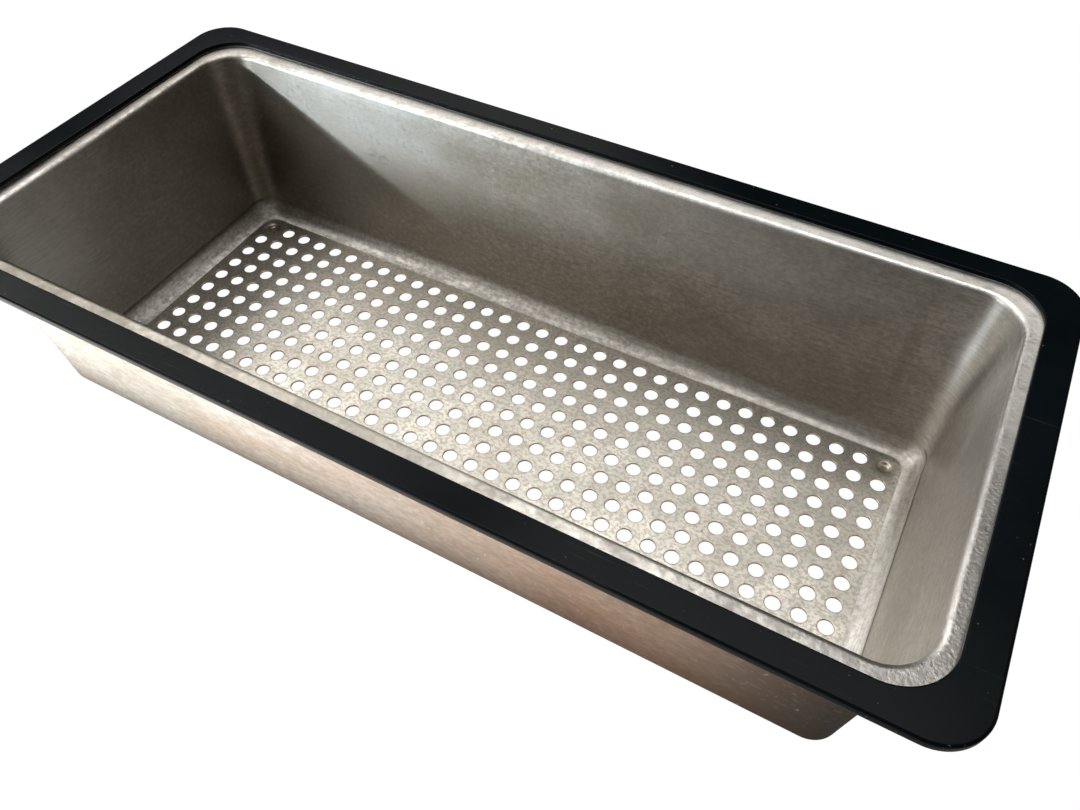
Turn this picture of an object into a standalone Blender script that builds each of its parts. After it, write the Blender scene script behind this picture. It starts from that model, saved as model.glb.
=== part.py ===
"""Perforated steel tray with a black rim frame, in metres, +Z up.

The tray is one deep-drawn sheet: a flat floor with a square grid of round holes, four sloping
walls and a flange that turns outwards at the top. A moulded frame sits over the flange and is
glued to it by a thin bead. The origin is at the middle of the tray, at the level of its feet.
"""

import math

import bmesh
import bpy

MM = 0.001

# Sheet and perforated floor
SHEET = 0.8 * MM
HOLE_PITCH = 10.0 * MM
HOLE_COLUMNS = 33
HOLE_ROWS = 12
HOLE_RADIUS = 3.0 * MM
HOLE_SIDES = 6

# Feet: dimples pressed down at the four corner positions of the hole grid
FOOT_DEPTH = 1.2 * MM
FOOT_TOP_RADIUS = 2.8 * MM
FOOT_SOLE_RADIUS = 1.7 * MM
FOOT_SIDES = 8

# Walls, given on the inner face of the sheet, with heights above the top of the floor
BASE_HALF_X = 172.75 * MM
BASE_HALF_Y = 67.7 * MM
DRAFT = math.radians(5.1)
FOLD_RADIUS = 6.2 * MM
FLANGE_TOP = 83.4 * MM
BEND_RADIUS = 2.0 * MM
FLOOR_CORNER = 6.2 * MM
WALL_CORNER_LOW = 10.0 * MM
WALL_CORNER_HIGH = 15.0 * MM

# Rim frame
FRAME_TOP = 86.2 * MM
FRAME_HALF_X = 196.3 * MM
FRAME_HALF_Y = 91.05 * MM
FRAME_CORNER = 15.0 * MM
WINDOW_HALF_X = 185.1 * MM
WINDOW_HALF_Y = 81.3 * MM
WINDOW_CORNER = 17.5 * MM
SKIRT_HEIGHT = 3.3 * MM
SKIRT_WIDTH = 2.7 * MM
EDGE_ROUND = 0.8 * MM
WINDOW_ROUND = 0.4 * MM

# Clearances and the glue bead
GAP = 0.3 * MM
BEAD_THICKNESS = 0.4 * MM
BEAD_SETBACK = 2.0 * MM
BEAD_EDGE_INSET = 1.0 * MM

# Facets
CORNER_STEPS = 6
FOLD_STEPS = 4
BEND_STEPS = 3

FEET_TO_FLOOR = SHEET + FOOT_DEPTH
FLANGE_HALF_X = FRAME_HALF_X - SKIRT_WIDTH - GAP
FLANGE_HALF_Y = FRAME_HALF_Y - SKIRT_WIDTH - GAP
FLANGE_CORNER = FRAME_CORNER - SKIRT_WIDTH - GAP


def clear_scene():
    for item in list(bpy.data.objects):
        bpy.data.objects.remove(item, do_unlink=True)


def principled(name, colour, metallic, roughness):
    material = bpy.data.materials.new(name)
    material.use_nodes = True
    shader = material.node_tree.nodes["Principled BSDF"]
    shader.inputs["Base Color"].default_value = (*colour, 1.0)
    shader.inputs["Metallic"].default_value = metallic
    shader.inputs["Roughness"].default_value = roughness
    return material


def steel_material():
    return principled("brushed_stainless", (0.56, 0.54, 0.50), 1.0, 0.36)


def frame_material():
    return principled("black_plastic", (0.012, 0.014, 0.015), 0.0, 0.42)


def bead_material():
    return principled("grey_sealant", (0.30, 0.30, 0.29), 0.0, 0.55)


def add_ring(bm, half_x, half_y, corner, z):
    """A loop of vertices round a rectangle with round corners, anticlockwise from above."""
    loop = []
    for quarter in range(4):
        start = quarter * math.pi / 2
        side_x = 1 if quarter in (0, 3) else -1
        side_y = 1 if quarter in (0, 1) else -1
        for step in range(CORNER_STEPS + 1):
            angle = start + step * math.pi / 2 / CORNER_STEPS
            x = side_x * (half_x - corner) + corner * math.cos(angle)
            y = side_y * (half_y - corner) + corner * math.sin(angle)
            loop.append(bm.verts.new((x, y, z)))
    return loop


def skin(bm, lower, upper):
    """Quads between two loops, facing outwards when the second loop is above the first."""
    count = len(lower)
    for i in range(count):
        j = (i + 1) % count
        bm.faces.new((lower[i], lower[j], upper[j], upper[i]))


def finish_mesh(name, bm, material, smooth_angle):
    mesh = bpy.data.meshes.new(name)
    bmesh.ops.recalc_face_normals(bm, faces=bm.faces)
    bm.to_mesh(mesh)
    bm.free()
    mesh.materials.append(material)
    mesh.shade_smooth()
    mesh.set_sharp_from_angle(angle=smooth_angle)
    item = bpy.data.objects.new(name, mesh)
    bpy.context.collection.objects.link(item)
    return item


def wall_offset(z):
    """How far the inner wall face has moved outwards at height z above the floor."""
    return z * math.tan(DRAFT)


def sheet_stations(depth):
    """(offset, corner radius, height) from the floor's edge to the flange, depth into the sheet."""
    stations = []
    fold_x = -FOLD_RADIUS * (1 - math.sin(DRAFT)) / math.cos(DRAFT)
    radius = FOLD_RADIUS + depth
    for step in range(FOLD_STEPS + 1):
        part = step / FOLD_STEPS
        angle = -math.pi / 2 + part * (math.pi / 2 - DRAFT)
        offset = fold_x + radius * math.cos(angle)
        corner = FLOOR_CORNER + part * (WALL_CORNER_LOW - FLOOR_CORNER) + depth
        stations.append((offset, corner, FOLD_RADIUS + radius * math.sin(angle)))
    bend_z = FLANGE_TOP - BEND_RADIUS
    bend_x = (BEND_RADIUS + bend_z * math.sin(DRAFT)) / math.cos(DRAFT)
    radius = BEND_RADIUS - depth
    for step in range(BEND_STEPS + 1):
        angle = DRAFT + step / BEND_STEPS * (math.pi / 2 - DRAFT)
        offset = bend_x - radius * math.cos(angle)
        corner = WALL_CORNER_HIGH + offset - wall_offset(bend_z)
        stations.append((offset, corner, bend_z + radius * math.sin(angle)))
    return stations


def add_sheet_side(bm, depth):
    """The loops of one face of the sheet, from the floor's edge to the flange's edge."""
    loops = []
    for offset, corner, z in sheet_stations(depth):
        half_x = BASE_HALF_X + offset
        half_y = BASE_HALF_Y + offset
        loops.append(add_ring(bm, half_x, half_y, corner, z + FEET_TO_FLOOR))
    edge_z = FLANGE_TOP - depth + FEET_TO_FLOOR
    loops.append(add_ring(bm, FLANGE_HALF_X, FLANGE_HALF_Y, FLANGE_CORNER, edge_z))
    return loops


def grid_positions():
    """Every place of the hole grid, with True at the four corners, where a foot takes its place."""
    for column in range(HOLE_COLUMNS):
        for row in range(HOLE_ROWS):
            x = (column - (HOLE_COLUMNS - 1) / 2) * HOLE_PITCH
            y = (row - (HOLE_ROWS - 1) / 2) * HOLE_PITCH
            at_corner = column in (0, HOLE_COLUMNS - 1) and row in (0, HOLE_ROWS - 1)
            yield x, y, at_corner


def add_plug(bm, centre, low, high, sides):
    """A closed round plug between two (radius, height) ends."""
    loops = []
    for radius, z in (low, high):
        loop = []
        for side in range(sides):
            angle = (side + 0.5) * 2 * math.pi / sides
            x = centre[0] + radius * math.cos(angle)
            y = centre[1] + radius * math.sin(angle)
            loop.append(bm.verts.new((x, y, z)))
        loops.append(loop)
    skin(bm, loops[0], loops[1])
    bm.faces.new(reversed(loops[0]))
    bm.faces.new(loops[1])


def helper(name, bm):
    """A mesh that only joins or cuts the tray, and isn't a piece of it."""
    mesh = bpy.data.meshes.new(name)
    bm.to_mesh(mesh)
    bm.free()
    item = bpy.data.objects.new(name, mesh)
    item.hide_render = True
    item.display_type = "WIRE"
    bpy.context.collection.objects.link(item)
    return item


def foot_bosses():
    bm = bmesh.new()
    for x, y, is_foot in grid_positions():
        if is_foot:
            sole = (FOOT_SOLE_RADIUS, 0.0)
            root = (FOOT_TOP_RADIUS + SHEET / 2, FOOT_DEPTH + SHEET / 2)
            add_plug(bm, (x, y), sole, root, FOOT_SIDES)
    return helper("foot_bosses", bm)


def floor_cutters():
    """The holes, and the hollows of the dimples, which widen upwards past the floor's face."""
    bm = bmesh.new()
    slope = (FOOT_TOP_RADIUS - FOOT_SOLE_RADIUS) / FOOT_DEPTH
    above = 1.0 * MM
    for x, y, is_foot in grid_positions():
        if is_foot:
            pit = (FOOT_SOLE_RADIUS - SHEET / 2, SHEET)
            mouth_radius = FOOT_TOP_RADIUS - SHEET / 2 + slope * above
            add_plug(bm, (x, y), pit, (mouth_radius, FEET_TO_FLOOR + above), FOOT_SIDES)
        else:
            low = (HOLE_RADIUS, FOOT_DEPTH - above)
            high = (HOLE_RADIUS, FEET_TO_FLOOR + above)
            add_plug(bm, (x, y), low, high, HOLE_SIDES)
    return helper("floor_cutters", bm)


def add_boolean(item, name, operation, other):
    modifier = item.modifiers.new(name, "BOOLEAN")
    modifier.operation = operation
    modifier.solver = "EXACT"
    modifier.object = other


def perforated_pan():
    bm = bmesh.new()
    inside = add_sheet_side(bm, 0.0)
    outside = add_sheet_side(bm, SHEET)
    order = inside + outside[::-1]
    for first, second in zip(order, order[1:]):
        skin(bm, first, second)
    bm.faces.new(inside[0])
    bm.faces.new(reversed(outside[0]))
    pan = finish_mesh("perforated_pan", bm, steel_material(), math.radians(35))
    add_boolean(pan, "feet", "UNION", foot_bosses())
    add_boolean(pan, "holes", "DIFFERENCE", floor_cutters())
    return pan


def ring_body(name, stations, material, smooth_angle):
    """A closed ring lofted through (half x, half y, corner, height) stations round its section."""
    bm = bmesh.new()
    loops = []
    for half_x, half_y, corner, z in stations:
        loops.append(add_ring(bm, half_x, half_y, corner, z + FEET_TO_FLOOR))
    for index, loop in enumerate(loops):
        skin(bm, loop, loops[(index + 1) % len(loops)])
    return finish_mesh(name, bm, material, smooth_angle)


def frame_underside():
    return FLANGE_TOP + 2 * GAP + BEAD_THICKNESS


def outer_station(inset, z):
    return (FRAME_HALF_X - inset, FRAME_HALF_Y - inset, FRAME_CORNER - inset, z)


def window_station(inset, z):
    return (WINDOW_HALF_X + inset, WINDOW_HALF_Y + inset, WINDOW_CORNER + inset, z)


def rim_frame():
    bottom = FRAME_TOP - SKIRT_HEIGHT
    chamfer = EDGE_ROUND * (1 - math.cos(math.pi / 4))
    stations = [
        outer_station(SKIRT_WIDTH, bottom),
        outer_station(0.0, bottom),
        outer_station(0.0, FRAME_TOP - EDGE_ROUND),
        outer_station(chamfer, FRAME_TOP - chamfer),
        outer_station(EDGE_ROUND, FRAME_TOP),
        window_station(WINDOW_ROUND, FRAME_TOP),
        window_station(0.0, FRAME_TOP - WINDOW_ROUND),
        window_station(0.0, frame_underside()),
        outer_station(SKIRT_WIDTH, frame_underside()),
    ]
    return ring_body("rim_frame", stations, frame_material(), math.radians(35))


def glue_bead():
    low = FLANGE_TOP + GAP
    high = low + BEAD_THICKNESS
    inset = SKIRT_WIDTH + GAP + BEAD_EDGE_INSET
    stations = [
        outer_station(inset, low),
        outer_station(inset, high),
        window_station(BEAD_SETBACK, high),
        window_station(BEAD_SETBACK, low),
    ]
    return ring_body("glue_bead", stations, bead_material(), math.radians(35))


def main():
    clear_scene()
    assembly = bpy.data.objects.new("perforated_tray", None)
    bpy.context.collection.objects.link(assembly)
    for item in (perforated_pan(), rim_frame(), glue_bead()):
        item.parent = assembly


main()
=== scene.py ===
import math

import bpy
from mathutils import Matrix, Vector, noise


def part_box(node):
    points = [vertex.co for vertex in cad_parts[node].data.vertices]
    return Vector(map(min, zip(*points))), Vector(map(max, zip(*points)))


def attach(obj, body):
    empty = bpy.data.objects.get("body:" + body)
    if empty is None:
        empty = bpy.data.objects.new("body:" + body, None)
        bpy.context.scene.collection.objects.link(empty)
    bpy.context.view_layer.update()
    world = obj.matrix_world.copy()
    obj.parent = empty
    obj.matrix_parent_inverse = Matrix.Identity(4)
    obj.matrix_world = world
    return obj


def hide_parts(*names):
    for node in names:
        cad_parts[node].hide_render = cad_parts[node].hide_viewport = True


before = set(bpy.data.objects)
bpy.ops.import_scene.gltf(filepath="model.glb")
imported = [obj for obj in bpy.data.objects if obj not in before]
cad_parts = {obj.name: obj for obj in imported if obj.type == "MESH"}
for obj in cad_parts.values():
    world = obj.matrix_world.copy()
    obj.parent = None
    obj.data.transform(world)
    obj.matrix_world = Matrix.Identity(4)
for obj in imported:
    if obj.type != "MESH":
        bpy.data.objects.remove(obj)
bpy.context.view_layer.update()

MM = 0.001

# The tray's design, as the CAD solids have it
SHEET = 0.8 * MM
PITCH = 10.0 * MM
COLUMNS = 33
ROWS = 12
HOLE_RADIUS = 3.0 * MM
FOOT_DEPTH = 1.2 * MM
FOOT_RADIUS = 3.2 * MM
SOLE_RADIUS = 1.5 * MM
BASE_HALF_X = 172.75 * MM
BASE_HALF_Y = 67.7 * MM
DRAFT = math.radians(5.1)
FOLD_RADIUS = 6.2 * MM
BEND_RADIUS = 2.0 * MM
FLOOR_CORNER = 6.2 * MM
WALL_CORNER_LOW = 10.0 * MM
WALL_CORNER_HIGH = 15.0 * MM
WINDOW_HALF_X = 185.1 * MM
WINDOW_HALF_Y = 81.3 * MM
WINDOW_CORNER = 17.5 * MM
FRAME_CORNER = 15.0 * MM
SKIRT_WIDTH = 2.7 * MM

PAN_LOW, PAN_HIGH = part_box("perforated_pan")
RIM_LOW, RIM_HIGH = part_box("rim_frame")
BEAD_LOW, BEAD_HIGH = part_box("glue_bead")
FLOOR_Z = PAN_LOW.z + FOOT_DEPTH + SHEET
FLANGE_Z = PAN_HIGH.z
FLANGE_CORNER = FRAME_CORNER - (RIM_HIGH.x - PAN_HIGH.x)
UNDERSIDE_Z = BEAD_HIGH.z + (BEAD_LOW.z - FLANGE_Z)

# Facets
CELL_STEPS = 6
HOLE_STEPS = 4 * CELL_STEPS
CORNER_STEPS = 12
FOLD_STEPS = 8
CREASE_STEPS = 8
WALL_STEPS = 7
BEND_STEPS = 6


# ---------------------------------------------------------------- mesh building

class Shell:
    """Vertices, faces and the material slot of each face, gathered into one mesh."""

    def __init__(self):
        self.points = []
        self.faces = []
        self.slots = []

    def loop(self, points):
        first = len(self.points)
        self.points.extend(points)
        return list(range(first, len(self.points)))

    def band(self, near, far, slot):
        """Quads from one loop to the next, and triangles where a loop repeats a point."""
        count = len(near)
        for i in range(count):
            j = (i + 1) % count
            corners = []
            for index in (near[i], far[i], far[j], near[j]):
                if index not in corners:
                    corners.append(index)
            if len(corners) > 2:
                self.faces.append(corners)
                self.slots.append(slot)

    def chain(self, loops, slot):
        for near, far in zip(loops, loops[1:]):
            self.band(near, far, slot)

    def build(self, name, materials, sharp_degrees=60):
        mesh = bpy.data.meshes.new(name)
        mesh.from_pydata(self.points, [], self.faces)
        for material in materials:
            mesh.materials.append(material)
        mesh.polygons.foreach_set("material_index", self.slots)
        mesh.validate()
        mesh.shade_smooth()
        mesh.set_sharp_from_angle(angle=math.radians(sharp_degrees))
        item = bpy.data.objects.new(name, mesh)
        bpy.context.scene.collection.objects.link(item)
        return item


def rounded_ring(half_x, half_y, corner, z, steps_x, steps_y, corner_steps, shift=None):
    """Points round a rectangle with round corners, anticlockwise, each corner's arc first.

    shift(x, y, z), if given, is how far a point moves outwards.
    """
    quarters = ((1, 1, steps_x), (-1, 1, steps_y), (-1, -1, steps_x), (1, -1, steps_y))
    arcs = []
    for quarter, (side_x, side_y, _) in enumerate(quarters):
        arc = []
        for step in range(corner_steps + 1):
            angle = (quarter + step / corner_steps) * math.pi / 2
            out = Vector((math.cos(angle), math.sin(angle), 0))
            centre = Vector((side_x * (half_x - corner), side_y * (half_y - corner), z))
            arc.append((centre + corner * out, out))
        arcs.append(arc)
    points = []
    for quarter, (_, _, steps) in enumerate(quarters):
        start, out = arcs[quarter][-1]
        end = arcs[(quarter + 1) % 4][0][0]
        side = [(start.lerp(end, step / steps), out) for step in range(1, steps)]
        points.extend(arcs[quarter] + side)
    if shift is None:
        return [point for point, _ in points]
    return [point + out * shift(*point) for point, out in points]


def unit_circle(steps):
    angles = [step * 2 * math.pi / steps for step in range(steps)]
    return [(math.cos(angle), math.sin(angle)) for angle in angles]


def smooth(value, low, high):
    """0 below low, 1 above high, with an even curve between."""
    part = min(1.0, max(0.0, (value - low) / (high - low)))
    return part * part * (3 - 2 * part)


# ---------------------------------------------------------------- the pan

WALL_WAVE = 0.22 * MM
FLOOR_WAVE = 0.16 * MM
CREASE_DEPTH = 0.45 * MM
CREASE_HEIGHT = 8.0 * MM
CREASE_WIDTH = 0.8 * MM
CREASE_TOP = 11.0 * MM
SUPPORT = 0.3 * MM


def wall_shift(x, y, z):
    """The slight bulges of a drawn wall, and the crease above the fold on the end walls."""
    height = z - FLOOR_Z
    window = smooth(height, 8 * MM, 30 * MM) * smooth(FLANGE_Z - z, 5 * MM, 25 * MM)
    bulge = noise.noise(Vector((x * 14, y * 14, z * 20)))
    bulge += 0.5 * noise.noise(Vector((x * 35, y * 35, z * 45 + 7)))
    on_end = smooth(abs(x), BASE_HALF_X - 2 * MM, BASE_HALF_X - 1 * MM)
    on_end *= smooth(BASE_HALF_Y - abs(y), 9 * MM, 16 * MM)
    crease = math.exp(-((height - CREASE_HEIGHT) / CREASE_WIDTH) ** 2)
    return WALL_WAVE * window * bulge - CREASE_DEPTH * crease * on_end


def floor_wave(x, y):
    """How far the floor stands above its plane. It is flat at its edge and round the feet."""
    edge = min(BASE_HALF_X - abs(x), BASE_HALF_Y - abs(y))
    window = smooth(edge, 14 * MM, 40 * MM)
    ripple = noise.noise(Vector((x * 16, y * 16, 3))) + 0.4 * noise.noise(Vector((x * 40, y * 40, 9)))
    return FLOOR_WAVE * window * ripple


def pan_ring(shell, half_x, half_y, corner, z, shift=None):
    """A loop whose sides have as many steps as the hole grid, so that every ring joins the next."""
    steps = (COLUMNS * CELL_STEPS, ROWS * CELL_STEPS, CORNER_STEPS)
    return shell.loop(rounded_ring(half_x, half_y, corner, z, *steps, shift))


def tray_ring(shell, offset, corner, height, shift=None):
    """A loop at a height above the floor, offset outwards from the walls' foot."""
    return pan_ring(shell, BASE_HALF_X + offset, BASE_HALF_Y + offset, corner, FLOOR_Z + height, shift)


def wall_rings(shell, depth):
    """The loops of one face of the sheet, from the floor's edge to the flange's edge."""
    rings = []
    fold_x = -FOLD_RADIUS * (1 - math.sin(DRAFT)) / math.cos(DRAFT)
    radius = FOLD_RADIUS + depth
    rings.append(tray_ring(shell, fold_x - SUPPORT, FLOOR_CORNER + depth - SUPPORT, FOLD_RADIUS - radius))
    for step in range(FOLD_STEPS + 1):
        part = step / FOLD_STEPS
        angle = -math.pi / 2 + part * (math.pi / 2 - DRAFT)
        corner = FLOOR_CORNER + part * (WALL_CORNER_LOW - FLOOR_CORNER) + depth
        z = FOLD_RADIUS + radius * math.sin(angle)
        rings.append(tray_ring(shell, fold_x + radius * math.cos(angle), corner, z, wall_shift))
    fold_top = (fold_x + radius * math.cos(DRAFT), FOLD_RADIUS - radius * math.sin(DRAFT))
    bend_z = FLANGE_Z - FLOOR_Z - BEND_RADIUS
    bend_x = (BEND_RADIUS + bend_z * math.sin(DRAFT)) / math.cos(DRAFT)
    radius = BEND_RADIUS - depth
    bend_low = (bend_x - radius * math.cos(DRAFT), bend_z + radius * math.sin(DRAFT))
    corner_high = WALL_CORNER_HIGH + bend_low[0] - bend_z * math.tan(DRAFT)
    crease_part = (CREASE_TOP - fold_top[1]) / (bend_low[1] - fold_top[1])
    parts = [crease_part * step / CREASE_STEPS for step in range(1, CREASE_STEPS)]
    parts += [crease_part + (1 - crease_part) * step / WALL_STEPS for step in range(WALL_STEPS)]
    for part in parts:
        offset = fold_top[0] + part * (bend_low[0] - fold_top[0])
        corner = WALL_CORNER_LOW + depth + part * (corner_high - WALL_CORNER_LOW - depth)
        z = fold_top[1] + part * (bend_low[1] - fold_top[1])
        rings.append(tray_ring(shell, offset, corner, z, wall_shift))
    for step in range(BEND_STEPS + 1):
        angle = DRAFT + step / BEND_STEPS * (math.pi / 2 - DRAFT)
        offset = bend_x - radius * math.cos(angle)
        corner = WALL_CORNER_HIGH + offset - bend_z * math.tan(DRAFT)
        rings.append(tray_ring(shell, offset, corner, bend_z + radius * math.sin(angle)))
    rings.append(tray_ring(shell, offset + SUPPORT, corner + SUPPORT, bend_z + radius))
    rings.append(pan_ring(shell, PAN_HIGH.x, PAN_HIGH.y, FLANGE_CORNER, FLANGE_Z - depth))
    return rings


def lattice(shell, z):
    """Points on the borders of the hole grid's cells, by their step along X and Y."""
    found = {}
    for i in range(COLUMNS * CELL_STEPS + 1):
        for j in range(ROWS * CELL_STEPS + 1):
            if i % CELL_STEPS and j % CELL_STEPS:
                continue
            x = (i / CELL_STEPS - COLUMNS / 2) * PITCH
            y = (j / CELL_STEPS - ROWS / 2) * PITCH
            found[i, j] = shell.loop([Vector((x, y, z + floor_wave(x, y)))])[0]
    return found


def cell_border(points, column, row):
    """The loop round one cell, anticlockwise from the middle of its +X side."""
    half = CELL_STEPS // 2
    i = column * CELL_STEPS + half
    j = row * CELL_STEPS + half
    steps = [(half, k) for k in range(0, half)]
    steps += [(k, half) for k in range(half, -half, -1)]
    steps += [(-half, k) for k in range(half, -half, -1)]
    steps += [(k, -half) for k in range(-half, half)]
    steps += [(half, k) for k in range(-half, 0)]
    return [points[i + a, j + b] for a, b in steps]


def circle(shell, x, y, radius, z):
    points = []
    for across, along in unit_circle(HOLE_STEPS):
        px = x + radius * across
        py = y + radius * along
        points.append(Vector((px, py, z + floor_wave(px, py))))
    return shell.loop(points)


HOLE_FLARE = 0.06 * MM
HOLE_WALL_TOP = 0.26 * MM
HOLE_ROLL = ((0.05 * MM, 0.10 * MM), (0.22 * MM, 0.0), (0.42 * MM, 0.0))
FOOT_RINGS = 9


def punch_hole(shell, x, y, below, above, slots):
    """A punched hole: rolled over a little at the top, slightly flared at the bottom."""
    low = [circle(shell, x, y, HOLE_RADIUS + HOLE_FLARE, FLOOR_Z - SHEET)]
    wall = [circle(shell, x, y, HOLE_RADIUS, FLOOR_Z - HOLE_WALL_TOP)]
    roll = [circle(shell, x, y, HOLE_RADIUS + grow, FLOOR_Z - drop) for grow, drop in HOLE_ROLL]
    shell.chain([below] + low, slots["outside"])
    shell.chain(low + wall + roll[:2], slots["hole"])
    shell.chain(roll[1:] + [above], slots["floor"])


def press_foot(shell, x, y, below, above, slots):
    """A dimple pressed down through the sheet, flat at its sole."""
    upper = [above]
    lower = [below]
    for step in range(FOOT_RINGS):
        radius = FOOT_RADIUS * (1 - step / FOOT_RINGS)
        fall = FOOT_DEPTH * smooth(FOOT_RADIUS - radius, 0, FOOT_RADIUS - SOLE_RADIUS)
        upper.append(circle(shell, x, y, radius, FLOOR_Z - fall))
        lower.append(circle(shell, x, y, radius, FLOOR_Z - SHEET - fall))
    upper.append(shell.loop([Vector((x, y, FLOOR_Z - FOOT_DEPTH))]) * HOLE_STEPS)
    lower.append(shell.loop([Vector((x, y, FLOOR_Z - SHEET - FOOT_DEPTH))]) * HOLE_STEPS)
    shell.chain(upper[::-1], slots["floor"])
    shell.chain(lower, slots["outside"])


def grid_border(points):
    """The loop round the whole grid, which repeats each corner as often as a ring's arc has points."""
    last_i = COLUMNS * CELL_STEPS
    last_j = ROWS * CELL_STEPS
    arc = CORNER_STEPS + 1
    border = [points[last_i, last_j]] * arc
    border += [points[i, last_j] for i in range(last_i - 1, 0, -1)]
    border += [points[0, last_j]] * arc
    border += [points[0, j] for j in range(last_j - 1, 0, -1)]
    border += [points[0, 0]] * arc
    border += [points[i, 0] for i in range(1, last_i)]
    border += [points[last_i, 0]] * arc
    border += [points[last_i, j] for j in range(1, last_j)]
    return border


def build_pan(materials):
    shell = Shell()
    names = list(materials)
    slots = {name: names.index(name) for name in names}
    above = lattice(shell, FLOOR_Z)
    below = lattice(shell, FLOOR_Z - SHEET)
    for column in range(COLUMNS):
        for row in range(ROWS):
            x = (column - (COLUMNS - 1) / 2) * PITCH
            y = (row - (ROWS - 1) / 2) * PITCH
            borders = (cell_border(below, column, row), cell_border(above, column, row))
            at_corner = column in (0, COLUMNS - 1) and row in (0, ROWS - 1)
            make = press_foot if at_corner else punch_hole
            make(shell, x, y, *borders, slots)
    inside = wall_rings(shell, 0.0)
    outside = wall_rings(shell, SHEET)
    shell.chain([grid_border(above), inside[0]], slots["floor"])
    shell.chain(inside, slots["wall"])
    shell.chain([inside[-1]] + outside[::-1] + [grid_border(below)], slots["outside"])
    return shell.build("pan", list(materials.values()))


# ---------------------------------------------------------------- frame and bead

FRAME_STEPS = (60, 28, 20)
TOP_RADIUS = 0.9 * MM
SKIRT_RADIUS = 0.5 * MM
WINDOW_RADIUS = 0.45 * MM
UNDER_RADIUS = 0.25 * MM
EDGE_SUPPORT = 0.2 * MM
BEAD_GAP = 0.02 * MM
BEAD_SETBACK = 1.0 * MM
BEAD_BULGE = 0.5 * MM
BEAD_STEPS = 6


def frame_ring(shell, half_x, half_y, corner, z, shift=None):
    return shell.loop(rounded_ring(half_x, half_y, corner, z, *FRAME_STEPS, shift))


def window_ring(shell, inset, z, shift=None):
    """A loop round the frame's window, set back from its edge."""
    return frame_ring(shell, WINDOW_HALF_X + inset, WINDOW_HALF_Y + inset, WINDOW_CORNER + inset, z, shift)


def arc_pairs(radius, steps):
    """(inset, drop) of points on a rounded edge, from the side face to the top face."""
    pairs = []
    for step in range(steps + 1):
        angle = step / steps * math.pi / 2
        pairs.append((radius * (1 - math.cos(angle)), radius * (1 - math.sin(angle))))
    return pairs


def build_frame(material):
    """The frame with rounded edges: round its skirt, over its top, through its window and underneath."""
    shell = Shell()
    top = RIM_HIGH.z
    bottom = RIM_LOW.z
    loops = []

    def outer(inset, z):
        loops.append(frame_ring(shell, RIM_HIGH.x - inset, RIM_HIGH.y - inset, FRAME_CORNER - inset, z))

    def window(inset, z):
        loops.append(window_ring(shell, inset, z))

    outer(SKIRT_WIDTH, bottom)
    outer(SKIRT_RADIUS + EDGE_SUPPORT, bottom)
    for inset, rise in arc_pairs(SKIRT_RADIUS, 4)[::-1]:
        outer(inset, bottom + rise)
    for inset, drop in arc_pairs(TOP_RADIUS, 7):
        outer(inset, top - drop)
    outer(TOP_RADIUS + EDGE_SUPPORT, top)
    window(WINDOW_RADIUS + EDGE_SUPPORT, top)
    for inset, drop in arc_pairs(WINDOW_RADIUS, 5)[::-1]:
        window(inset, top - drop)
    for inset, rise in arc_pairs(UNDER_RADIUS, 3):
        window(inset, UNDERSIDE_Z + rise)
    window(UNDER_RADIUS + EDGE_SUPPORT, UNDERSIDE_Z)
    outer(SKIRT_WIDTH, UNDERSIDE_Z)
    loops.reverse()
    shell.chain(loops + [loops[0]], 0)
    return shell.build("rim", [material], 50)


def build_bead(material):
    """Sealant between flange and frame, squeezed out a little here and there."""
    shell = Shell()
    low = FLANGE_Z + BEAD_GAP
    high = UNDERSIDE_Z - BEAD_GAP
    loops = []

    def squeeze(x, y, z):
        uneven = 0.35 * noise.noise(Vector((x * 60, y * 60, 1)))
        uneven += 0.25 * noise.noise(Vector((x * 190, y * 190, 5)))
        return -uneven * MM

    outer_corner = FRAME_CORNER - (RIM_HIGH.x - BEAD_HIGH.x)
    loops.append(frame_ring(shell, BEAD_HIGH.x, BEAD_HIGH.y, outer_corner, low))
    loops.append(frame_ring(shell, BEAD_HIGH.x, BEAD_HIGH.y, outer_corner, high))
    middle = (low + high) / 2
    for step in range(BEAD_STEPS + 1):
        angle = math.pi / 2 - step / BEAD_STEPS * math.pi
        z = middle + (high - low) / 2 * math.sin(angle)
        loops.append(window_ring(shell, BEAD_SETBACK - BEAD_BULGE * math.cos(angle), z, squeeze))
    loops.reverse()
    shell.chain(loops + [loops[0]], 0)
    return shell.build("bead", [material])


# ---------------------------------------------------------------- materials

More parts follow.
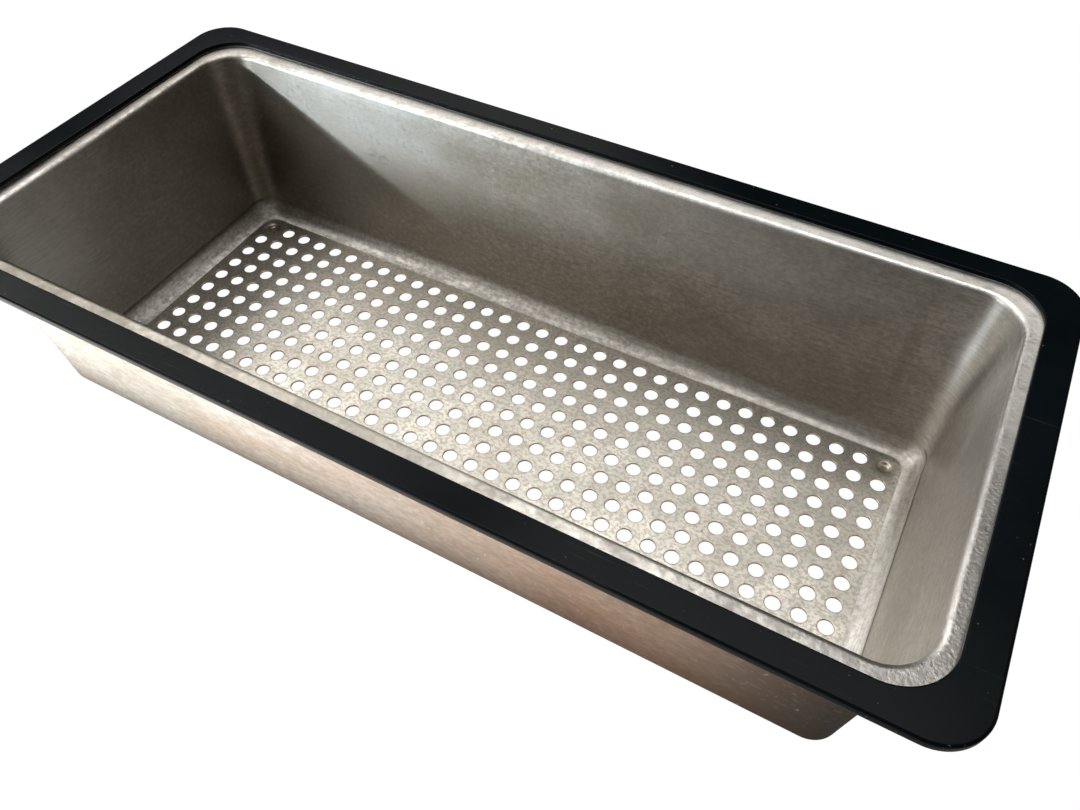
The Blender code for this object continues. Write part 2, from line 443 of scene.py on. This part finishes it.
class Paint:
    """Short calls for the nodes of one material. Textures read object coordinates, in metres."""

    def __init__(self, name):
        self.material = bpy.data.materials.new(name)
        self.material.use_nodes = True
        self.nodes = self.material.node_tree.nodes
        self.links = self.material.node_tree.links
        self.shader = self.nodes["Principled BSDF"]
        self.place = self.nodes.new("ShaderNodeTexCoord").outputs["Object"]

    def fill(self, socket, value):
        if isinstance(value, bpy.types.NodeSocket):
            self.links.new(value, socket)
        else:
            socket.default_value = value

    def set(self, name, value):
        self.fill(self.shader.inputs[name], value)

    def math(self, operation, *values):
        node = self.nodes.new("ShaderNodeMath")
        node.operation = operation
        for socket, value in zip(node.inputs, values):
            self.fill(socket, value)
        return node.outputs[0]

    def vector(self, operation, *values):
        node = self.nodes.new("ShaderNodeVectorMath")
        node.operation = operation
        for socket, value in zip(node.inputs, values):
            self.fill(socket, value)
        return node.outputs["Value" if operation == "LENGTH" else "Vector"]

    def noise(self, stretch, detail=3.0, rough=0.55, shift=(0, 0, 0)):
        """Noise whose features per metre along X, Y and Z are given by stretch."""
        moved = self.vector("ADD", self.vector("MULTIPLY", self.place, stretch), shift)
        node = self.nodes.new("ShaderNodeTexNoise")
        self.links.new(moved, node.inputs["Vector"])
        node.inputs["Scale"].default_value = 1.0
        node.inputs["Detail"].default_value = detail
        node.inputs["Roughness"].default_value = rough
        return node.outputs["Fac"]

    def ramp(self, value, low, high, to_low=0.0, to_high=1.0):
        node = self.nodes.new("ShaderNodeMapRange")
        node.interpolation_type = "SMOOTHSTEP"
        self.fill(node.inputs["Value"], value)
        node.inputs["From Min"].default_value = low
        node.inputs["From Max"].default_value = high
        node.inputs["To Min"].default_value = to_low
        node.inputs["To Max"].default_value = to_high
        return node.outputs["Result"]

    def mix(self, part, first, second):
        node = self.nodes.new("ShaderNodeMix")
        node.data_type = "RGBA"
        self.fill(node.inputs["Factor"], part)
        self.fill(node.inputs[6], first)
        self.fill(node.inputs[7], second)
        return node.outputs[2]

    def times(self, first, second):
        return self.math("MULTIPLY", first, second)

    def plus(self, first, second):
        return self.math("ADD", first, second)

    def stain(self, colour, part, amount, tint):
        """colour, moved towards tint by amount where part is 1."""
        return self.mix(self.times(part, amount), colour, tint)

    def axis(self, name):
        node = self.nodes.new("ShaderNodeSeparateXYZ")
        self.links.new(self.place, node.inputs[0])
        return node.outputs[name]

    def spot(self, mark, solid=0.0):
        """1 in the inner part of an ellipsoid, given by its middle and radii, and 0 from its surface on."""
        middle, radii = mark
        away = self.vector("SUBTRACT", self.place, middle)
        scaled = self.vector("MULTIPLY", away, tuple(1 / radius for radius in radii))
        return self.ramp(self.vector("LENGTH", scaled), solid, 1.0, 1.0, 0.0)

    def bump(self, height, distance, strength=1.0, below=None):
        node = self.nodes.new("ShaderNodeBump")
        node.inputs["Strength"].default_value = strength
        node.inputs["Distance"].default_value = distance
        self.fill(node.inputs["Height"], height)
        if below is not None:
            self.links.new(below, node.inputs["Normal"])
        return node.outputs["Normal"]

    def tangent(self, axis):
        node = self.nodes.new("ShaderNodeTangent")
        node.direction_type = "RADIAL"
        node.axis = axis
        return node.outputs["Tangent"]


# Steel, from clean to marked, and colours for painted light and shade
CLEAN = (0.690, 0.665, 0.622, 1)
DULL = (0.520, 0.487, 0.438, 1)
# Pale steel for mottle and drops, and also the colour of painted highlights on the fold, rim, right side
# and far-right corner
PALE_AND_HIGHLIGHT = (0.930, 0.915, 0.885, 1)
# Grey-white of painted light
LIT_TONE = (0.86, 0.88, 0.885, 1)
LIMESCALE = (0.85, 0.85, 0.84, 1)
# Brown tarnish, also used as painted shade in the far-left corner and below the lit patch on the far wall
BROWN_AND_SHADE = (0.320, 0.272, 0.200, 1)
# Grease brown, also the colour of painted shade low on the walls
GREASE_AND_SHADE = (0.305, 0.275, 0.215, 1)
PITTED = (0.270, 0.250, 0.205, 1)
# Colour of painted shade on the near rim
NEAR_RIM_SHADE = (0.330, 0.305, 0.260, 1)
# Dark colour of a painted reflection in the far-right corner
DARK_REFLECTION = (0.22, 0.205, 0.185, 1)
GRAIN_DARK = (0.20, 0.18, 0.16, 1)
# Colour of the painted shade line in the end walls' crease
CREASE_SHADE = (0.13, 0.115, 0.10, 1)
FLOOR_CLEAN = (0.70, 0.675, 0.62, 1)
FLOOR_DULL = (0.50, 0.475, 0.425, 1)
FLOOR_GREY = (0.47, 0.485, 0.445, 1)
FLOOR_SPECK = (0.34, 0.310, 0.260, 1)
HOLE_DIRT = (0.300, 0.205, 0.130, 1)
SCUFFED = (0.10, 0.085, 0.07, 1)
SHEARED = (0.72, 0.63, 0.52, 1)
RUSTY = (0.42, 0.31, 0.21, 1)
OUTSIDE_CLEAN = (0.70, 0.675, 0.635, 1)
OUTSIDE_DULL = (0.53, 0.50, 0.45, 1)
# Pinkish brown of tarnish and of a painted reflection that grows towards +X
OUTSIDE_STAIN_AND_REFLECTION = (0.61, 0.375, 0.250, 1)
# Near-black of painted shade on the outside's near right corner
OUTSIDE_SHADE = (0.10, 0.085, 0.08, 1)
OUTSIDE_GRAIN = (0.22, 0.19, 0.16, 1)
OUTSIDE_PITTED = (0.30, 0.245, 0.19, 1)

# Marks on the pan, each an ellipsoid: its middle and its radii. The streak, patch and splashes are stains;
# the rest are painted light or shade.
BROWN_STREAK = ((0.150, 0.073, 0.052), (0.0042, 0.020, 0.036))
BROWN_PATCH = ((0.141, 0.071, 0.028), (0.013, 0.020, 0.022))
# Painted light: the window's lit patch high on the far wall's left half
LIT_PATCH_FAR = ((-0.105, 0.078, 0.078), (0.095, 0.050, 0.042))
# Painted shade in the far-left corner
SHADED_FAR_LEFT_CORNER = ((-0.178, 0.072, 0.040), (0.085, 0.075, 0.055))
# Painted highlight on the near part of the left end wall
LIT_PATCH_LEFT_END = ((-0.181, -0.066, 0.055), (0.030, 0.070, 0.060))
# Painted shadow on the far wall, below the window's lit patch
SHADOW_BELOW_LIT_PATCH = ((-0.088, 0.076, 0.046), (0.034, 0.050, 0.024))
# Painted highlight on the far wall beside the far-right corner
CORNER_HIGHLIGHT = ((0.1685, 0.0710, 0.048), (0.0060, 0.020, 0.048))
# Painted dark reflection at the far-right corner's bend
CORNER_DARK_REFLECTION = ((0.1755, 0.0655, 0.050), (0.020, 0.0042, 0.038))
LEFT_SPLASH = ((-0.035, 0.073, 0.066), (0.0035, 0.020, 0.012))
RIGHT_SPLASH = ((0.047, 0.073, 0.066), (0.0050, 0.020, 0.014))
# Painted shade on the outside at the near right corner
SHADED_NEAR_RIGHT_CORNER = ((0.178, -0.070, 0.040), (0.068, 0.050, 0.120))


def finish_steel(paint, colour, rough, normal, anisotropic, axis):
    """Bare steel whose grain runs round the given axis."""
    paint.set("Base Color", colour)
    paint.set("Metallic", 1.0)
    paint.set("Roughness", rough)
    paint.set("Normal", normal)
    paint.set("Anisotropic", anisotropic)
    paint.set("Anisotropic Rotation", 0.25)
    paint.set("Tangent", paint.tangent(axis))
    return paint.material


class WallParts:
    """Where things are on the walls, as values from 0 to 1, and the noises that several looks share."""

    def __init__(self, paint):
        self.x = paint.axis("X")
        self.y = paint.axis("Y")
        self.height = paint.axis("Z")
        fine = paint.noise((130, 130, 1900), 4.0, 0.7)
        long = paint.noise((55, 55, 1100), 4.0, 0.65, (3, 5, 1))
        self.grain = paint.plus(paint.times(fine, 0.55), paint.times(long, 0.45))
        self.blotch = paint.noise((38, 38, 60), 6.0, 0.68, (11, 4, 8))
        self.drips = paint.noise((95, 95, 9), 4.0, 0.55, (2, 17, 6))
        self.mottle = paint.noise((420, 420, 520), 4.0, 0.72, (21, 6, 13))
        self.fold = paint.ramp(self.height, FLOOR_Z + 3.5 * MM, FLOOR_Z + 7.5 * MM, 1.0, 0.0)
        self.rim = paint.ramp(self.height, FLANGE_Z - 2.5 * MM, FLANGE_Z - 0.5 * MM)
        self.right_end = paint.ramp(self.x, BASE_HALF_X - 9 * MM, BASE_HALF_X - 3 * MM)
        self.left_end = paint.ramp(self.x, 9 * MM - BASE_HALF_X, 3 * MM - BASE_HALF_X)


def wall_stains(paint, at):
    """The walls' colour: dull blotches, drips, tarnish, a darker low band that is painted shade with some
    grease, and a fine mottle.
    """
    colour = paint.mix(paint.ramp(at.blotch, 0.35, 0.70), CLEAN, DULL)
    colour = paint.stain(colour, paint.ramp(at.drips, 0.50, 0.72), 0.35, DULL)
    tarnish = paint.noise((13, 13, 20), 3.0, 0.5, (31, 8, 2))
    brown = paint.times(paint.ramp(tarnish, 0.47, 0.70), 0.55)
    marks = paint.math("MAXIMUM", paint.spot(BROWN_STREAK, 0.2), paint.times(paint.spot(BROWN_PATCH), 0.6))
    marks = paint.times(marks, paint.ramp(at.drips, 0.3, 0.6, 0.45, 0.9))
    colour = paint.mix(paint.math("MAXIMUM", brown, marks), colour, BROWN_AND_SHADE)
    # Painted shade below the window's lit band: darker and browner low on the walls, more so towards the
    # left, with some grease
    low_shade = paint.ramp(at.height, FLOOR_Z + 14 * MM, FLOOR_Z + 68 * MM, 0.62, 0.0)
    low_shade = paint.times(low_shade, paint.ramp(at.x, 0.0, 0.10, 1.0, 0.40))
    colour = paint.mix(low_shade, colour, GREASE_AND_SHADE)
    colour = paint.mix(paint.ramp(at.mottle, 0.44, 0.62, 0.0, 0.44), colour, PITTED)
    return paint.mix(paint.ramp(at.mottle, 0.30, 0.46, 0.30, 0.0), colour, PALE_AND_HIGHLIGHT)


def wall_patches(paint, at, colour):
    """Painted light and shade on the far wall and the ends: the window's lit patch, a shaded corner and
    band, a lighter right side, a corner highlight and a dark corner reflection.
    """
    # Painted light: the window's lit patch on the far wall, uneven with the blotches
    lit_patch = paint.times(paint.spot(LIT_PATCH_FAR), paint.ramp(at.blotch, 0.25, 0.60, 0.75, 0.2))
    colour = paint.mix(lit_patch, colour, LIT_TONE)
    # Painted shade: the far-left corner darkened
    colour = paint.stain(colour, paint.spot(SHADED_FAR_LEFT_CORNER, 0.1), 0.45, BROWN_AND_SHADE)
    # Painted highlight on the left end wall
    colour = paint.stain(colour, paint.spot(LIT_PATCH_LEFT_END), 0.90, LIT_TONE)
    # Painted shadow below the lit patch on the far wall
    colour = paint.stain(colour, paint.spot(SHADOW_BELOW_LIT_PATCH), 0.40, BROWN_AND_SHADE)
    # Painted light: lighter towards +X, and on the right end wall, which faces the window
    colour = paint.mix(paint.ramp(at.x, 0.02, 0.12, 0.0, 0.14), colour, PALE_AND_HIGHLIGHT)
    colour = paint.stain(colour, at.right_end, 0.18, PALE_AND_HIGHLIGHT)
    # Painted highlight and painted dark reflection at the far-right corner
    colour = paint.stain(colour, paint.spot(CORNER_HIGHLIGHT), 0.75, PALE_AND_HIGHLIGHT)
    return paint.stain(colour, paint.spot(CORNER_DARK_REFLECTION, 0.1), 0.65, DARK_REFLECTION)


def wall_edges(paint, at, colour):
    """The fold and the rim made pale, partly wear and partly a painted highlight, painted shade on the near
    rim, and a painted shade line in the crease over the end folds.
    """
    # The fold made pale: partly its pressed, worn finish and partly a painted highlight, strongest at the
    # right end
    worn_and_highlight = paint.ramp(at.x, -0.15, 0.12, 0.85, 0.50)
    worn_and_highlight = paint.math("MULTIPLY_ADD", at.right_end, 0.50, worn_and_highlight)
    worn_and_highlight = paint.times(worn_and_highlight, paint.ramp(at.mottle, 0.42, 0.60, 1.0, 0.6))
    colour = paint.stain(colour, at.fold, worn_and_highlight, PALE_AND_HIGHLIGHT)
    # The bend and flange made pale: partly rubbed wear and partly a painted highlight, stronger towards +X
    rubbed_and_highlight = paint.ramp(at.x, -0.20, 0.12, 0.35, 0.95)
    rubbed_and_highlight = paint.times(rubbed_and_highlight, paint.ramp(at.mottle, 0.42, 0.60, 1.0, 0.65))
    colour = paint.stain(colour, at.rim, rubbed_and_highlight, PALE_AND_HIGHLIGHT)
    # Painted shade on the near rim, strongest towards the left
    near_rim = paint.times(at.rim, paint.ramp(at.y, -0.066, -0.058, 1.0, 0.0))
    colour = paint.stain(colour, near_rim, paint.ramp(at.x, -0.02, 0.17, 0.75, 0.15), NEAR_RIM_SHADE)
    # Painted shade: a dark line along the crease over the end folds
    from_crease = paint.math("ABSOLUTE", paint.math("SUBTRACT", at.height, FLOOR_Z + CREASE_HEIGHT))
    line = paint.ramp(from_crease, 0.3 * MM, 1.1 * MM, 0.8, 0.0)
    on_end = paint.ramp(paint.math("ABSOLUTE", at.x), BASE_HALF_X - 2 * MM, BASE_HALF_X - 0.5 * MM)
    return paint.stain(colour, line, on_end, CREASE_SHADE)


def wall_steel():
    """Inner walls, fold, bend and flange: fine grain that runs level round the tray."""
    paint = Paint("steel_walls")
    at = WallParts(paint)
    colour = wall_edges(paint, at, wall_patches(paint, at, wall_stains(paint, at)))
    colour = paint.mix(paint.ramp(at.grain, 0.38, 0.62, 0.30, 0.0), colour, GRAIN_DARK)
    splash = paint.math("MAXIMUM", paint.spot(LEFT_SPLASH, 0.3), paint.spot(RIGHT_SPLASH, 0.3))
    drops = paint.noise((1100, 1100, 800), 2.0, 0.6, (7, 7, 7))
    splash = paint.times(splash, paint.ramp(drops, 0.54, 0.64, 0.0, 0.4))
    colour = paint.mix(splash, colour, LIMESCALE)
    rough = paint.ramp(at.blotch, 0.3, 0.7, 0.40, 0.50)
    rough = paint.plus(rough, paint.ramp(at.grain, 0.3, 0.7, 0.05, -0.05))
    rough = paint.plus(rough, paint.times(splash, 0.2))
    rough = paint.plus(rough, paint.times(at.fold, paint.math("MULTIPLY_ADD", at.right_end, 0.05, 0.12)))
    rough = paint.plus(rough, paint.times(at.fold, paint.times(at.left_end, 0.12)))
    rough = paint.plus(rough, paint.ramp(at.mottle, 0.35, 0.65, -0.05, 0.07))
    pressed = paint.math("MULTIPLY_ADD", paint.math("MAXIMUM", at.fold, at.rim), 0.65, 0.35)
    peel = paint.noise((900, 900, 900), 2.0, 0.5)
    normal = paint.bump(paint.times(peel, pressed), 0.00008, 0.9)
    normal = paint.bump(at.grain, 0.00003, 0.9, normal)
    return finish_steel(paint, colour, rough, normal, 0.75, "Z")


def from_hole(paint):
    """Distance from the nearest hole's middle, in metres."""
    offsets = []
    for name, count in (("X", COLUMNS), ("Y", ROWS)):
        steps = paint.math("DIVIDE", paint.axis(name), PITCH)
        shifted = paint.plus(steps, count / 2 + 10)
        inside = paint.math("SUBTRACT", paint.math("FRACT", shifted), 0.5)
        offsets.append(paint.times(inside, inside))
    return paint.times(paint.math("SQRT", paint.plus(*offsets)), PITCH)


def floor_steel():
    """The floor's upper face: satin, speckled, with brown rings round the holes."""
    paint = Paint("steel_floor")
    grain = paint.noise((140, 3600, 300), 5.0, 0.65)
    speck = paint.noise((620, 780, 600), 4.0, 0.65, (4, 9, 2))
    blotch = paint.noise((34, 34, 30), 5.0, 0.62, (6, 1, 3))
    tint = paint.noise((120, 120, 90), 4.0, 0.6, (2, 14, 5))
    dirt = paint.noise((260, 260, 100), 3.0, 0.6, (8, 2, 5))
    scuff = paint.noise((420, 150, 100), 3.0, 0.7, (1, 12, 4))
    colour = paint.mix(paint.ramp(blotch, 0.35, 0.68), FLOOR_CLEAN, FLOOR_DULL)
    colour = paint.mix(paint.ramp(tint, 0.44, 0.60, 0.0, 0.6), colour, FLOOR_GREY)
    colour = paint.mix(paint.ramp(speck, 0.43, 0.60, 0.0, 0.68), colour, FLOOR_SPECK)
    ring = paint.ramp(from_hole(paint), HOLE_RADIUS + 0.10 * MM, HOLE_RADIUS + 0.75 * MM, 1.0, 0.0)
    colour = paint.stain(colour, ring, paint.ramp(dirt, 0.36, 0.62, 0.15, 0.75), HOLE_DIRT)
    colour = paint.stain(colour, paint.ramp(scuff, 0.68, 0.74), 0.55, SCUFFED)
    rough = paint.ramp(speck, 0.3, 0.7, 0.30, 0.42)
    rough = paint.plus(rough, paint.ramp(blotch, 0.3, 0.7, -0.03, 0.06))
    normal = paint.bump(speck, 0.00004, 0.6)
    normal = paint.bump(grain, 0.00002, 0.8, normal)
    return finish_steel(paint, colour, rough, normal, 0.35, "Y")


def hole_steel():
    """The sheared wall of a punched hole, with dried dirt."""
    paint = Paint("steel_holes")
    dirt = paint.noise((500, 500, 900), 3.0, 0.6)
    paint.set("Base Color", paint.mix(paint.ramp(dirt, 0.35, 0.65), SHEARED, RUSTY))
    paint.set("Metallic", 1.0)
    paint.set("Roughness", paint.ramp(dirt, 0.3, 0.7, 0.35, 0.6))
    paint.set("Normal", paint.bump(paint.noise((900, 900, 200), 2.0), 0.00004, 0.7))
    return paint.material


def outside_steel():
    """Outer walls and underside: browner towards +X, partly tarnish and partly a painted reflection, with
    painted shade on the near right corner.
    """
    paint = Paint("steel_outside")
    grain = paint.noise((70, 70, 3600), 5.0, 0.65, (5, 3, 2))
    blotch = paint.noise((22, 22, 34), 5.0, 0.62, (16, 21, 3))
    tarnish = paint.noise((10, 14, 30), 3.0, 0.55, (1, 2, 13))
    mottle = paint.noise((260, 260, 420), 4.0, 0.7, (4, 19, 7))
    drops = paint.noise((420, 420, 420), 1.0, 0.4, (9, 9, 1))
    colour = paint.mix(paint.ramp(blotch, 0.35, 0.68), OUTSIDE_CLEAN, OUTSIDE_DULL)
    # Browner towards +X: a painted reflection of a darker, browner table, plus tarnish from the noise
    tarnish_and_reflection = paint.ramp(paint.axis("X"), -0.08, 0.11, 0.0, 0.68)
    tarnish_and_reflection = paint.plus(paint.ramp(tarnish, 0.46, 0.72, 0.0, 0.35), tarnish_and_reflection)
    colour = paint.mix(tarnish_and_reflection, colour, OUTSIDE_STAIN_AND_REFLECTION)
    # Painted shade: the near right corner of the outside darkened
    colour = paint.stain(colour, paint.spot(SHADED_NEAR_RIGHT_CORNER, 0.1), 0.95, OUTSIDE_SHADE)
    colour = paint.mix(paint.ramp(grain, 0.35, 0.65, 0.14, 0.0), colour, OUTSIDE_GRAIN)
    colour = paint.mix(paint.ramp(mottle, 0.44, 0.62, 0.0, 0.35), colour, OUTSIDE_PITTED)
    colour = paint.mix(paint.ramp(mottle, 0.30, 0.46, 0.20, 0.0), colour, PALE_AND_HIGHLIGHT)
    colour = paint.mix(paint.ramp(drops, 0.74, 0.78, 0.0, 0.5), colour, PALE_AND_HIGHLIGHT)
    rough = paint.ramp(blotch, 0.3, 0.7, 0.36, 0.48)
    return finish_steel(paint, colour, rough, paint.bump(grain, 0.00003, 0.8), 0.5, "Z")


PLASTIC_DARK = (0.0018, 0.0038, 0.0052, 1)
PLASTIC_LIGHT = (0.0040, 0.0066, 0.0082, 1)
PLASTIC_SCRATCH = (0.10, 0.105, 0.11, 1)
# Grey of a painted highlight along the frame's lower outer edge
PLASTIC_EDGE_HIGHLIGHT = (0.33, 0.34, 0.35, 1)
DUST = (0.20, 0.20, 0.19, 1)
SEALANT_DARK = (0.16, 0.16, 0.155, 1)
SEALANT_LIGHT = (0.30, 0.30, 0.29, 1)


def frame_plastic():
    """Black moulded plastic: fine texture, faint scratches, dust and a painted highlight along the lower
    edge.
    """
    paint = Paint("black_plastic")
    cloud = paint.noise((18, 18, 18), 4.0, 0.6)
    texture = paint.noise((1700, 1700, 1700), 2.0, 0.5)
    dust = paint.noise((520, 520, 520), 2.0, 0.5, (3, 1, 8))
    lines = paint.noise((30, 1900, 60), 3.0, 0.6, (5, 5, 5))
    colour = paint.mix(paint.ramp(cloud, 0.3, 0.7), PLASTIC_DARK, PLASTIC_LIGHT)
    scratch = paint.times(paint.ramp(lines, 0.66, 0.72), paint.ramp(cloud, 0.5, 0.62))
    colour = paint.stain(colour, scratch, 0.35, PLASTIC_SCRATCH)
    colour = paint.mix(paint.ramp(dust, 0.735, 0.765, 0.0, 0.45), colour, DUST)
    # Painted highlight along the skirt's lower edge, uneven with the cloud noise
    skirt = paint.ramp(paint.axis("Z"), RIM_LOW.z + 0.15 * MM, RIM_LOW.z + 0.75 * MM, 1.0, 0.0)
    colour = paint.stain(colour, skirt, paint.ramp(cloud, 0.40, 0.60, 0.1, 0.6), PLASTIC_EDGE_HIGHLIGHT)
    rough = paint.plus(paint.ramp(cloud, 0.3, 0.7, 0.22, 0.30), paint.times(scratch, 0.12))
    paint.set("Base Color", colour)
    paint.set("Metallic", 0.0)
    paint.set("Roughness", rough)
    paint.set("Specular IOR Level", 0.08)
    paint.set("Normal", paint.bump(texture, 0.00002, 0.5))
    return paint.material


def bead_sealant():
    """Grey sealant, cloudy and a little lumpy."""
    paint = Paint("grey_sealant")
    cloud = paint.noise((90, 90, 90), 4.0, 0.6)
    paint.set("Base Color", paint.mix(paint.ramp(cloud, 0.3, 0.7), SEALANT_DARK, SEALANT_LIGHT))
    paint.set("Roughness", paint.ramp(cloud, 0.3, 0.7, 0.35, 0.6))
    paint.set("Normal", paint.bump(paint.noise((400, 400, 400)), 0.00008, 0.6))
    return paint.material


# ---------------------------------------------------------------- stage

CAMERA_LENS = 29.12
CAMERA_PLACE = Vector((0.13677, -0.19333, 0.29498 + FLOOR_Z))
CAMERA_AHEAD = Vector((-0.3071, 0.5516, -0.7755))
CAMERA_RIGHT = Vector((0.8771, 0.4802, -0.0058))
COOL = (0.86, 0.955, 1.0)
WARM = (1.0, 0.97, 0.93)


def facing(place, ahead, right):
    """The matrix of something at place that looks ahead, with its X axis as near to right as can be."""
    ahead = ahead.normalized()
    side = (right - right.dot(ahead) * ahead).normalized()
    turn = Matrix((side, side.cross(ahead), -ahead)).transposed()
    return Matrix.Translation(place) @ turn.to_4x4()


def add_camera():
    data = bpy.data.cameras.new("camera")
    data.lens = CAMERA_LENS
    data.sensor_width = 36.0
    data.clip_start = 0.01
    item = bpy.data.objects.new("camera", data)
    bpy.context.scene.collection.objects.link(item)
    item.matrix_world = facing(CAMERA_PLACE, CAMERA_AHEAD, CAMERA_RIGHT)
    bpy.context.scene.camera = item


def add_area(name, place, target, size, power, colour, along=None):
    """An area light at place that faces target. Its long side lies level, or along the given way."""
    data = bpy.data.lights.new(name, "AREA")
    data.shape = "RECTANGLE"
    data.size = size[0]
    data.size_y = size[1]
    data.energy = power
    data.color = colour
    item = bpy.data.objects.new(name, data)
    bpy.context.scene.collection.objects.link(item)
    ahead = target - place
    level = ahead.cross(Vector((0, 0, 1)))
    item.matrix_world = facing(place, ahead, level if along is None else along)


STAGE_HALF = 3.0
TABLE_Z = PAN_LOW.z - 0.10 * MM
CARD_Z = PAN_LOW.z - 0.05 * MM
TABLE_COLOUR = (0.50, 0.46, 0.42, 1)
TABLE_GLOW = 0.05
POOL_GLOW = 2.1
POOL_COLOUR = (1.0, 0.985, 0.95, 1)
BACKDROP_STEPS = 64


def flat_sheet(name, z, material):
    half = STAGE_HALF
    corners = [(-half, -half, z), (half, -half, z), (half, half, z), (-half, half, z)]
    mesh = bpy.data.meshes.new(name)
    mesh.from_pydata(corners, [], [(0, 1, 2, 3)])
    mesh.materials.append(material)
    item = bpy.data.objects.new(name, mesh)
    bpy.context.scene.collection.objects.link(item)
    return item


def round_wall(name, z, material):
    """A wall round the stage, as high as its radius."""
    shell = Shell()
    loops = []
    for level in (z, z + STAGE_HALF):
        points = [Vector((STAGE_HALF * x, STAGE_HALF * y, level)) for x, y in unit_circle(BACKDROP_STEPS)]
        loops.append(shell.loop(points))
    shell.chain(loops, 0)
    item = shell.build(name, [material])
    return item


def card_white():
    paint = Paint("card_white")
    paint.set("Base Color", (0, 0, 0, 1))
    paint.set("Roughness", 0.8)
    paint.set("Specular IOR Level", 0.2)
    paint.set("Emission Color", (1, 1, 1, 1))
    paint.set("Emission Strength", 1.0)
    return paint.material


def table_pale():
    """A pale table that glows in front of the tray's left half, where the window's light would land."""
    paint = Paint("table_pale")
    along = paint.ramp(paint.axis("X"), -0.19, 0.21, 1.0, 0.0)
    front = paint.ramp(paint.axis("Y"), -0.090, -0.075, 1.0, 0.0)
    pool = paint.math("MULTIPLY", along, front)
    paint.set("Base Color", TABLE_COLOUR)
    paint.set("Roughness", 0.8)
    paint.set("Specular IOR Level", 0.2)
    paint.set("Emission Color", POOL_COLOUR)
    paint.set("Emission Strength", paint.math("MULTIPLY_ADD", pool, POOL_GLOW, TABLE_GLOW))
    return paint.material


def add_floor():
    """A pale table, and a white card and backdrop that only the camera sees and that light nothing."""
    flat_sheet("table", TABLE_Z, table_pale())
    white = card_white()
    for item in (flat_sheet("card", CARD_Z, white), round_wall("backdrop", CARD_Z, white)):
        item.visible_diffuse = False
        item.visible_glossy = False
        item.visible_transmission = False
        item.visible_shadow = False


def add_world():
    world = bpy.data.worlds.new("studio")
    world.use_nodes = True
    background = world.node_tree.nodes["Background"]
    background.inputs["Color"].default_value = (*WARM, 1)
    background.inputs["Strength"].default_value = 0.02
    bpy.context.scene.world = world


WINDOW_AWAY = 2.6
WINDOW_SPAN = (203, 219)
WINDOW_SLOPE = 0.444
WINDOW_HEIGHT = 0.10
WINDOW_POWER = 17
BEAM_AZIMUTH = 224
BEAM_AIM = Vector((-0.150, 0.080, 0.104))
BEAM_RADIUS = 0.095
BEAM_POWER = 128
BEAM_SOFTNESS = 0.035
LIGHT_TARGET = Vector((0.0, 0.0, 0.05))
SOFTBOX_AWAY = 2.0
SOFTBOX_SIZE = (1.2, 1.0)
SOFTBOXES = (
    ("back_top", 75, 5, 11),
    ("left_top", 75, 270, 7),
    ("left", 45, 270, 14),
    ("back_left", 43, 319, 6.5),
    ("front_left", 50, 225, 4),
)


def bearing(azimuth, elevation):
    """The direction of a point in the sky, with azimuths clockwise from +Y."""
    level = math.cos(elevation)
    return Vector((math.sin(azimuth) * level, math.cos(azimuth) * level, math.sin(elevation)))


def window_point(middle, azimuth):
    """A place on the low window, whose rays all cross the far wall at one slope."""
    turn = math.radians(azimuth)
    return middle + WINDOW_AWAY * bearing(turn, math.atan(WINDOW_SLOPE * abs(math.sin(turn))))


def add_beam():
    """A narrow soft-edged beam from the window onto the far wall's left end."""
    data = bpy.data.lights.new("beam", "SPOT")
    data.energy = BEAM_POWER
    data.color = COOL
    data.shadow_soft_size = BEAM_SOFTNESS
    data.spot_size = 2 * math.atan(BEAM_RADIUS / WINDOW_AWAY)
    data.spot_blend = 1.0
    item = bpy.data.objects.new("beam", data)
    bpy.context.scene.collection.objects.link(item)
    item.location = window_point(BEAM_AIM, BEAM_AZIMUTH)
    item.rotation_euler = (BEAM_AIM - item.location).to_track_quat("-Z", "Y").to_euler()


def add_lights():
    """A low window at the front left, and soft boxes given by elevation, azimuth and power."""
    start, end = (window_point(LIGHT_TARGET, azimuth) for azimuth in WINDOW_SPAN)
    size = ((end - start).length, WINDOW_HEIGHT)
    add_area("window", (start + end) / 2, LIGHT_TARGET, size, WINDOW_POWER, COOL, end - start)
    add_beam()
    for name, elevation, azimuth, power in SOFTBOXES:
        place = LIGHT_TARGET + SOFTBOX_AWAY * bearing(math.radians(azimuth), math.radians(elevation))
        add_area(name, place, LIGHT_TARGET, SOFTBOX_SIZE, power, WARM)


# ---------------------------------------------------------------- assembly

bpy.context.scene.view_settings.view_transform = "Standard"
add_camera()
add_world()
add_lights()
add_floor()

pan = build_pan({
    "wall": wall_steel(),
    "floor": floor_steel(),
    "hole": hole_steel(),
    "outside": outside_steel(),
})
rim = build_frame(frame_plastic())
bead = build_bead(bead_sealant())
for piece, node, slot in (
    (pan, "perforated_pan", "brushed_stainless"),
    (rim, "rim_frame", "black_plastic"),
    (bead, "glue_bead", "grey_sealant"),
):
    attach(piece, "root")
    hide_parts(node)
